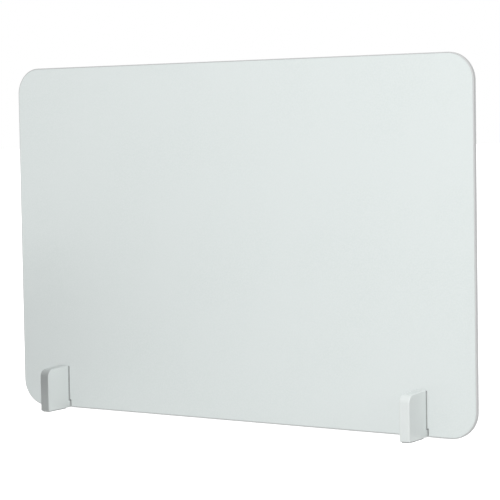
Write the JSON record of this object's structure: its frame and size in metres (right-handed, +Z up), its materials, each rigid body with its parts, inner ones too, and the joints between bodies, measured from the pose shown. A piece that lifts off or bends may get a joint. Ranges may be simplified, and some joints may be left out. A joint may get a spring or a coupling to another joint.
{
  "type": "desk privacy panel",
  "caption": "Free-standing desk privacy panel: a thin board with rounded corners that stands upright in slotted plate feet crossing its lower edge.",
  "frame": {"origin": "on the desk top, under the middle of the board", "axes": "+X along the board to the right, -Y the front, +Z up"},
  "size_m": [0.6, 0.086, 0.401],
  "materials": {
    "face_sheet": "satin laminate, off-white with a faint green-grey tint",
    "board_core": "rigid foamed sheet, cut edges matte",
    "edge_band": "satin, rounded, neutral white",
    "foot": "semi-gloss moulded plastic, off-white",
    "slot_liner": "soft, matte, mid grey",
    "anti_slip_pad": "matte, fine-grained, light grey"
  },
  "bodies": {
    "left_foot": {"left_foot": "foot", "left_slot_liner": "slot_liner", "left_front_pad": "anti_slip_pad", "left_rear_pad": "anti_slip_pad"},
    "board": {"board_core": "board_core", "front_face_sheet": "face_sheet", "rear_face_sheet": "face_sheet", "edge_band": "edge_band", "lower_edge_band": "edge_band"},
    "right_foot": {"right_foot": "foot", "right_slot_liner": "slot_liner", "right_front_pad": "anti_slip_pad", "right_rear_pad": "anti_slip_pad"}
  },
  "joints": [
    {"name": "board_lift", "type": "slide", "parent": "left_foot", "child": "board", "axis": [0, 0, 1], "range_m": [0, 0.045]},
    {"name": "right_foot_release", "type": "slide", "parent": "board", "child": "right_foot", "axis": [0, 0, -1], "range_m": [0, 0.045]}
  ],
  "couplings": [
    {"joint": "right_foot_release", "follows": "board_lift", "ratio": 1}
  ]
}
